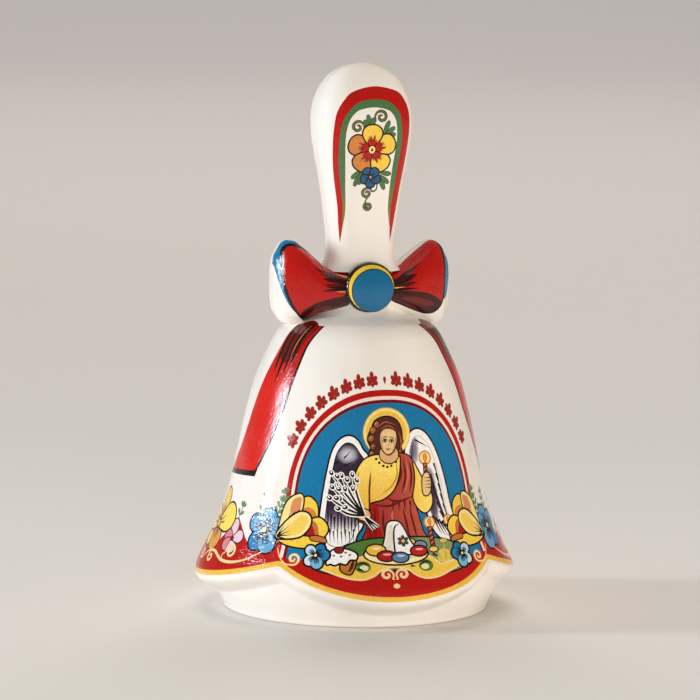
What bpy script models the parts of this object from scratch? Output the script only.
"""Porcelain table bell: a skirt-shaped shell, a hollow handle, a moulded bow and a swivelling clapper.

Frame: +Z up, origin at the centre of the foot's flat underside, the bow's knot faces -Y. Lengths below are
in millimetres and become metres through MM. Azimuth 0 is the front, at -Y, and grows towards +X.
"""

import math

import bmesh
import bpy
from mathutils import Matrix

MM = 0.001
GAP = 0.3  # clearance between neighbouring pieces
MERGE = 0.00001  # merge distance of the Screw modifiers, in metres

# Driving dimensions
HEIGHT = 105.0
BODY_SEGMENTS = 72
HANDLE_SEGMENTS = 48
TURNED_SEGMENTS = 24

# Outer radius of the skirt against height, from the hem's widest line to the shoulder
SKIRT = (
    (4.0, 30.5), (5.5, 30.8), (7.2, 30.8), (8.5, 30.55), (12.0, 28.9), (15.9, 27.1), (19.8, 25.6),
    (23.6, 24.5), (31.4, 22.9), (39.1, 21.2), (45.0, 19.5), (50.8, 16.9), (53.2, 15.6),
)  # fmt: skip
# Outer radius of the plain cuff under the scalloped hem, against height
CUFF = ((0.5, 25.4), (2.3, 26.3), (4.2, 27.2), (6.5, 27.8), (9.0, 27.9), (11.0, 27.5))
# Shoulder from the skirt's top to the neck, as (radius, height)
SHOULDER = ((14.6, 54.5), (13.4, 55.5), (11.8, 56.2), (9.2, 56.6), (5.6, 56.8))
# Inside of the shell from the mouth to the crown, as (radius, height)
INSIDE = (
    (22.9, 0.0), (22.9, 0.8), (23.9, 3.0), (24.8, 6.5), (24.7, 10.0), (23.7, 14.0), (22.4, 19.0),
    (21.2, 23.6), (19.6, 31.4), (18.0, 39.1), (16.2, 45.0), (13.6, 49.6), (9.6, 52.4), (5.0, 53.6),
)  # fmt: skip

# Scalloped hem: heights of its edge
HEM_FRONT_LOW = 4.6
HEM_SIDE_LOW = 5.1
HEM_CUSP = 10.5  # where a side lobe meets the front one
HEM_BACK = 8.2  # where the side lobes meet at the back
FRONT_LOBE = math.radians(45.0)  # half the front lobe's angle; two equal lobes share the rest
HEM_LIP = 0.9  # the edge's rounding starts this far above it
FOOT_CHAMFER = 0.5

NECK_RADIUS = 5.0
NECK_BOTTOM, NECK_TOP = 57.3, 66.0
BORE_RADIUS = 3.2
BORE_BOTTOM = 54.2

# Handle: half its width against height; its depth is a fixed share of its width
HANDLE_WIDTHS = (
    (66.3, 6.9), (67.6, 6.5), (70.2, 6.4), (74.0, 6.7), (77.9, 7.2), (81.8, 7.75), (85.7, 8.45),
    (89.5, 9.1), (92.5, 9.4), (95.3, 9.4), (97.3, 9.1), (99.3, 8.4), (101.2, 7.4), (102.8, 6.0),
    (104.0, 4.2), (104.7, 2.2),
)  # fmt: skip
HANDLE_DEPTH_SHARE = 0.85
HANDLE_SQUARENESS = 3.0
HANDLE_WALL = 2.6
HOLLOW_LEVELS = (66.3, 70.0, 77.0, 84.0, 90.0, 95.0, 98.5)
HOLLOW_TOP = 100.5

# Bow: for each distance from the middle, half the depth, and the lowest and highest point
BOW_STATIONS = (
    (0.0, 8.0, 57.6, 65.9), (3.0, 8.0, 57.6, 65.9), (7.3, 7.8, 57.2, 65.9), (9.2, 7.6, 56.5, 67.5),
    (11.8, 7.0, 55.1, 69.7), (13.8, 6.1, 54.6, 71.0), (15.7, 4.7, 55.2, 70.3), (16.9, 3.0, 57.0, 68.2),
    (17.4, 1.3, 59.6, 65.2),
)  # fmt: skip
BOW_SQUARENESS = 2.6
BOW_SECTION_POINTS = 28
KNOT_RADIUS, KNOT_THICK = 4.9, 2.3
KNOT_RIM = 0.7  # thickness of the knot at its edge
KNOT_BACK = 8.3  # distance of the knot's flat back in front of the axis
KNOT_HEIGHT = 62.6

# Hanger: a cork plug in the neck's bore and a wire eye that turns in it
PLUG_BOTTOM, PLUG_TOP = 54.0, 62.0
PLUG_RADIUS = BORE_RADIUS - GAP
WIRE_RADIUS = 0.5
PIN_BORE = WIRE_RADIUS + GAP
WASHER_RADIUS, WASHER_THICK = 2.2, 0.6
HEAD_RADIUS, HEAD_THICK = 1.2, 0.8
HEAD_BOTTOM = PLUG_TOP + 2 * GAP + WASHER_THICK
SHANK_BOTTOM = 53.5
EYE_RADIUS = 2.2  # to the wire's centre
EYE_CENTRE = 50.0
SWIVEL = 58.0  # height of the swivel's marker on its vertical axis
PIVOT = EYE_CENTRE - EYE_RADIUS  # height of the bar that the clapper hangs on

# Clapper: a wire with a loop, a porcelain ball and a crimped stop under it
LOOP_RADIUS = 2.0
LOOP_CENTRE = PIVOT + 2 * WIRE_RADIUS + GAP - LOOP_RADIUS
BALL_RADIUS = 6.0
BALL_CENTRE = 16.5
STOP_RADIUS, STOP_THICK = 1.3, 1.4
STOP_TOP = BALL_CENTRE - BALL_RADIUS + 0.1 - GAP
WIRE_END = STOP_TOP - STOP_THICK - 0.5
RING_POINTS = 26


def smooth_value(table, at):
    """The second number of a table of pairs, read at the first by a cubic through its points."""
    last = len(table) - 1
    i = max(j for j in range(last) if j == 0 or table[j][0] <= at)

    def slope(j):
        low, high = table[max(j - 1, 0)], table[min(j + 1, last)]
        return (high[1] - low[1]) / (high[0] - low[0])

    (x0, y0), (x1, y1) = table[i], table[i + 1]
    width = x1 - x0
    t = (at - x0) / width
    return (
        y0 * (1 + 2 * t) * (1 - t) ** 2
        + y1 * t * t * (3 - 2 * t)
        + width * (slope(i) * t * (1 - t) ** 2 - slope(i + 1) * t * t * (1 - t))
    )


def hem_height(azimuth):
    """Height of the hem's edge: one lobe at the front and two wider ones that meet at the back."""
    turn = abs(math.remainder(azimuth, 2 * math.pi))
    if turn <= FRONT_LOBE:
        return HEM_FRONT_LOW + (HEM_CUSP - HEM_FRONT_LOW) * (turn / FRONT_LOBE) ** 2
    half = (math.pi - FRONT_LOBE) / 2
    share = (turn - FRONT_LOBE - half) / half
    cusp = HEM_CUSP if share < 0 else HEM_BACK
    return HEM_SIDE_LOW + (cusp - HEM_SIDE_LOW) * share**2


def superellipse(azimuth, width, depth, power):
    """Distance from the centre to a superellipse with these half sizes along X and Y."""
    across = (abs(math.sin(azimuth)) / width) ** power
    along = (abs(math.cos(azimuth)) / depth) ** power
    return (across + along) ** (-1 / power)


def finish(obj, material, collection, pivot=None):
    """Puts an object in its collection with its material, smooth, and hangs it on its pivot if it has one."""
    for other in obj.users_collection:
        other.objects.unlink(obj)
    collection.objects.link(obj)
    obj.data.materials.append(material)
    if obj.type == "MESH":
        obj.data.shade_smooth()
        obj.data.set_sharp_from_angle(angle=math.radians(40))
    if pivot:
        obj.data.transform(Matrix.Translation(-pivot.matrix_world.translation))
        obj.parent = pivot


def as_cutter(obj, cutters):
    """Keeps an object that only cuts or joins out of the model."""
    obj.hide_render = True
    obj.display_type = "WIRE"
    cutters.objects.link(obj)
    return obj


def mesh_object(name, bm):
    """A new object from a bmesh, with its normals facing out."""
    bmesh.ops.recalc_face_normals(bm, faces=bm.faces)
    mesh = bpy.data.meshes.new(name)
    bm.to_mesh(mesh)
    bm.free()
    return bpy.data.objects.new(name, mesh)


def lofted(name, sections, closed):
    """A skin over a ring of unlike sections, each a list of points. A closed one's sections are loops."""
    bm = bmesh.new()
    rows = [[bm.verts.new([c * MM for c in point]) for point in section] for section in sections]
    count = len(rows[0])
    for here, following in zip(rows, rows[1:] + rows[:1]):
        for i in range(count if closed else count - 1):
            j = (i + 1) % count
            bm.faces.new((here[i], here[j], following[j], following[i]))
    bmesh.ops.remove_doubles(bm, verts=bm.verts, dist=1e-7)
    return mesh_object(name, bm)


def around(profile_at, segments):
    """Sections round Z for a loft. profile_at gives (radius, height) points for an azimuth."""
    sections = []
    for step in range(segments):
        azimuth = 2 * math.pi * step / segments
        across, along = math.sin(azimuth), -math.cos(azimuth)
        sections.append([(r * across, r * along, z) for r, z in profile_at(azimuth)])
    return sections


def turned(name, profile, closed=False, segments=TURNED_SEGMENTS):
    """A (radius, height) profile, outer side downwards, turned round Z by a Screw modifier."""
    mesh = bpy.data.meshes.new(name)
    count = len(profile)
    edges = [(i, i + 1) for i in range(count - 1)]
    if closed:
        edges.append((count - 1, 0))
    mesh.from_pydata([(r * MM, 0, z * MM) for r, z in profile], edges, [])
    obj = bpy.data.objects.new(name, mesh)
    screw = obj.modifiers.new("turn", "SCREW")
    screw.steps = screw.render_steps = segments
    screw.use_merge_vertices = True
    screw.merge_threshold = MERGE
    return obj


def boolean(obj, other, operation):
    """Adds an exact Boolean of another mesh object to obj."""
    modifier = obj.modifiers.new(operation.lower(), "BOOLEAN")
    modifier.operation = operation
    modifier.object = other
    modifier.solver = "EXACT"


def wire(name, points):
    """A round wire with filled caps through points in millimetres, as a curve object."""
    curve = bpy.data.curves.new(name, "CURVE")
    curve.dimensions = "3D"
    curve.bevel_depth = WIRE_RADIUS * MM
    curve.bevel_resolution = 2
    curve.use_fill_caps = True
    spline = curve.splines.new("POLY")
    spline.points.add(len(points) - 1)
    for place, point in zip(spline.points, points):
        place.co = (*(c * MM for c in point), 1.0)
    return bpy.data.objects.new(name, curve)


def meshed(curve_object):
    """A mesh object in place of a curve object, with its caps welded on."""
    name = curve_object.name
    bpy.context.scene.collection.objects.link(curve_object)
    bpy.context.view_layer.update()
    evaluated = curve_object.evaluated_get(bpy.context.evaluated_depsgraph_get())
    mesh = bpy.data.meshes.new_from_object(evaluated)
    bpy.data.objects.remove(curve_object)
    bm = bmesh.new()
    bm.from_mesh(mesh)
    bmesh.ops.remove_doubles(bm, verts=bm.verts, dist=1e-6)
    return mesh_object(name, bm)


def material(name, colour, roughness, metallic=0.0, coat=0.0):
    """A Principled material."""
    made = bpy.data.materials.new(name)
    made.use_nodes = True
    made.diffuse_color = (*colour, 1.0)
    shader = made.node_tree.nodes["Principled BSDF"]
    shader.inputs["Base Color"].default_value = (*colour, 1.0)
    shader.inputs["Roughness"].default_value = roughness
    shader.inputs["Metallic"].default_value = metallic
    shader.inputs["Coat Weight"].default_value = coat
    return made


def body_profile(azimuth):
    """Neck, shoulder, skirt, scalloped hem, cuff, foot and inside of the shell, at one azimuth."""
    hem = hem_height(azimuth)
    edge = smooth_value(SKIRT, hem + HEM_LIP)
    neck = [(BORE_RADIUS, NECK_TOP), (NECK_RADIUS, NECK_TOP), (NECK_RADIUS, NECK_BOTTOM)]
    top, bottom, rows = SKIRT[-1][0], hem + 2 * HEM_LIP, 17
    heights = [top + (bottom - top) * (i / rows) ** 0.8 for i in range(rows + 1)]
    skirt = [(smooth_value(SKIRT, z), z) for z in heights]
    cuff_top = hem - 1.4
    lip = [
        (edge, hem + HEM_LIP),
        (edge - 0.5, hem + 0.2),
        (edge - 1.3, hem - 0.3),
        (max(smooth_value(CUFF, cuff_top) + 0.2, edge - 3.2), cuff_top + 0.3),
    ]
    steps = [cuff_top + (FOOT_CHAMFER - cuff_top) * i / 3 for i in (1, 2, 3)]
    cuff = [(smooth_value(CUFF, z), z) for z in steps]
    foot = [(CUFF[0][1] - FOOT_CHAMFER, 0.0)]
    bore = [(BORE_RADIUS, BORE_BOTTOM)]
    return neck + list(reversed(SHOULDER)) + skirt + lip + cuff + foot + list(INSIDE) + bore


def make_body(porcelain, parts):
    body = lofted("bell_body", around(body_profile, BODY_SEGMENTS), closed=True)
    finish(body, porcelain, parts)


def handle_profile(azimuth):
    """Outside of the handle from its top to its base, then its hollow up to a closed end."""

    def radius(width):
        return superellipse(azimuth, width, width * HANDLE_DEPTH_SHARE, HANDLE_SQUARENESS)

    outside = [(0.0, HEIGHT)] + [(radius(width), z) for z, width in reversed(HANDLE_WIDTHS)]
    inside = [(radius(smooth_value(HANDLE_WIDTHS, z) - HANDLE_WALL), z) for z in HOLLOW_LEVELS]
    return outside + inside + [(radius(3.0), HOLLOW_TOP - 0.5), (0.0, HOLLOW_TOP)]


def make_handle(porcelain, parts):
    handle = lofted("handle", around(handle_profile, HANDLE_SEGMENTS), closed=False)
    finish(handle, porcelain, parts)


def bow_section(x, depth, low, high):
    """A ring of the bow, a superellipse across X."""
    middle, half = (low + high) / 2, (high - low) / 2
    ring = []
    for step in range(BOW_SECTION_POINTS):
        angle = 2 * math.pi * step / BOW_SECTION_POINTS
        reach = superellipse(angle, depth, half, BOW_SQUARENESS)
        ring.append((x, reach * math.sin(angle), middle + reach * math.cos(angle)))
    return ring


def make_bow(porcelain, parts, cutters):
    """The bow's two loops and the collar between them, cut to fit over the neck and shoulder."""
    bm = bmesh.new()
    stations = [(-x, *rest) for x, *rest in reversed(BOW_STATIONS[1:])] + list(BOW_STATIONS)
    rings = [
        [bm.verts.new([c * MM for c in point]) for point in bow_section(*station)]
        for station in stations
    ]
    for here, following in zip(rings, rings[1:]):
        for i in range(BOW_SECTION_POINTS):
            j = (i + 1) % BOW_SECTION_POINTS
            bm.faces.new((here[i], here[j], following[j], following[i]))
    bm.faces.new(rings[0])
    bm.faces.new(rings[-1])
    bow = mesh_object("bow", bm)

    top = NECK_TOP + 2
    shoulder = [(r + GAP, z + GAP) for r, z in reversed(SHOULDER)]
    skirt = [(smooth_value(SKIRT, z) + GAP, z) for z in (53.2, 50.0, 46.0)]
    neck = [(0.0, top), (NECK_RADIUS + GAP, top), (NECK_RADIUS + GAP, NECK_BOTTOM + GAP)]
    room = turned("bow_room", neck + shoulder + skirt + [(0.0, 46.0)], segments=BODY_SEGMENTS)
    boolean(bow, as_cutter(room, cutters), "DIFFERENCE")
    finish(bow, porcelain, parts)


def make_knot(glaze, parts):
    """The bow's round knot, a low dome with its flat back against the bow."""
    rows = 6
    dome = []
    for i in range(rows + 1):
        angle = math.pi / 2 * (1 - i / rows)
        height = KNOT_RIM + (KNOT_THICK - KNOT_RIM) * math.sin(angle)
        dome.append((KNOT_RADIUS * math.cos(angle) if i else 0.0, height))
    knot = turned("bow_knot", dome + [(KNOT_RADIUS - 0.3, 0.0), (0.0, 0.0)])
    knot.rotation_euler.x = math.radians(90)
    knot.location = (0, -KNOT_BACK * MM, KNOT_HEIGHT * MM)
    finish(knot, glaze, parts)


def ring(name, radius, bore, top, thick, edge):
    """A ring round the Z axis whose outer edges are broken."""
    bottom = top - thick
    profile = [
        (bore, top), (radius - edge, top), (radius, top - edge),
        (radius, bottom + edge), (radius - edge, bottom), (bore, bottom),
    ]  # fmt: skip
    return turned(name, profile, closed=True)


def make_plug(cork, steel, parts):
    """The cork plug that closes the neck's bore, and the washer on its top."""
    plug = ring("hanger_plug", PLUG_RADIUS, PIN_BORE, PLUG_TOP, PLUG_TOP - PLUG_BOTTOM, 0.3)
    finish(plug, cork, parts)
    washer_top = PLUG_TOP + GAP + WASHER_THICK
    finish(ring("pin_washer", WASHER_RADIUS, PIN_BORE, washer_top, WASHER_THICK, 0.15), steel, parts)


def make_eye_pin(steel, parts, cutters, pivot):
    """The pin that turns in the plug: a headed shank, then almost a full turn of eye across X and Z."""
    start, end = math.radians(38), math.radians(352)
    points = [(0, 0, HEAD_BOTTOM + HEAD_THICK / 2), (0, 0, SHANK_BOTTOM), (0.15, 0, SHANK_BOTTOM - 0.7)]
    for i in range(RING_POINTS + 1):
        angle = start + (end - start) * i / RING_POINTS
        across, up = EYE_RADIUS * math.sin(angle), EYE_RADIUS * math.cos(angle)
        points.append((across, 0, EYE_CENTRE + up))
    pin = meshed(wire("eye_pin", points))
    top = HEAD_BOTTOM + HEAD_THICK
    profile = [(0, top), (HEAD_RADIUS - 0.3, top), (HEAD_RADIUS, top - 0.3)]
    head = turned("pin_head", profile + [(HEAD_RADIUS, HEAD_BOTTOM), (0, HEAD_BOTTOM)])
    head.parent = pivot
    head.location.z = -SWIVEL * MM
    boolean(pin, as_cutter(head, cutters), "UNION")
    finish(pin, steel, parts, pivot)


def make_clapper_wire(steel, parts, pivot):
    """The wire's loop across Y and Z, which closes at its foot, and the straight run through the ball."""
    start, end = math.radians(-142), math.radians(188)
    points = []
    for i in range(RING_POINTS + 1):
        angle = start + (end - start) * i / RING_POINTS
        points.append((0, LOOP_RADIUS * math.sin(angle), LOOP_CENTRE + LOOP_RADIUS * math.cos(angle)))
    points += [(0, 0, LOOP_CENTRE - LOOP_RADIUS - 0.8), (0, 0, WIRE_END)]
    finish(wire("clapper_wire", points), steel, parts, pivot)


def make_ball(porcelain, parts, cutters, pivot):
    """The ball with the hole that its wire runs through."""
    bm = bmesh.new()
    bmesh.ops.create_uvsphere(bm, u_segments=TURNED_SEGMENTS, v_segments=16, radius=BALL_RADIUS * MM)
    bmesh.ops.translate(bm, verts=bm.verts, vec=(0, 0, BALL_CENTRE * MM))
    ball = mesh_object("clapper_ball", bm)
    top, bottom = BALL_CENTRE + 2 * BALL_RADIUS, BALL_CENTRE - 2 * BALL_RADIUS
    drill = turned("ball_drill", [(0, top), (PIN_BORE, top), (PIN_BORE, bottom), (0, bottom)])
    drill.parent = pivot
    drill.location.z = -PIVOT * MM
    boolean(ball, as_cutter(drill, cutters), "DIFFERENCE")
    finish(ball, porcelain, parts, pivot)


def make_stop(steel, parts, pivot):
    """The sleeve crimped on the wire under the ball."""
    finish(ring("ball_stop", STOP_RADIUS, PIN_BORE, STOP_TOP, STOP_THICK, 0.15), steel, parts, pivot)


def pivot_empty(name, height, parent=None):
    """An empty on a joint's axis, at this height in millimetres."""
    empty = bpy.data.objects.new(name, None)
    empty.empty_display_size = 0.005
    bpy.context.scene.collection.objects.link(empty)
    empty.parent = parent
    empty.location.z = height * MM - (parent.location.z if parent else 0)
    bpy.context.view_layer.update()
    return empty


def main():
    for obj in list(bpy.data.objects):
        bpy.data.objects.remove(obj)
    parts = bpy.data.collections.new("porcelain_bell")
    cutters = bpy.data.collections.new("cutters")
    for collection in (parts, cutters):
        bpy.context.scene.collection.children.link(collection)

    porcelain = material("white_porcelain", (0.86, 0.82, 0.76), 0.12, coat=0.6)
    blue_glaze = material("blue_glaze", (0.03, 0.2, 0.36), 0.15, coat=0.6)
    cork = material("cork", (0.55, 0.36, 0.2), 0.85)
    steel = material("steel_wire", (0.62, 0.62, 0.6), 0.3, metallic=1.0)
    swivel = pivot_empty("hanger_swivel", SWIVEL)
    swing = pivot_empty("clapper_swing", PIVOT, swivel)

    make_body(porcelain, parts)
    make_handle(porcelain, parts)
    make_bow(porcelain, parts, cutters)
    make_knot(blue_glaze, parts)
    make_plug(cork, steel, parts)
    make_eye_pin(steel, parts, cutters, swivel)
    make_clapper_wire(steel, parts, swing)
    make_ball(porcelain, parts, cutters, swing)
    make_stop(steel, parts, swing)


main()
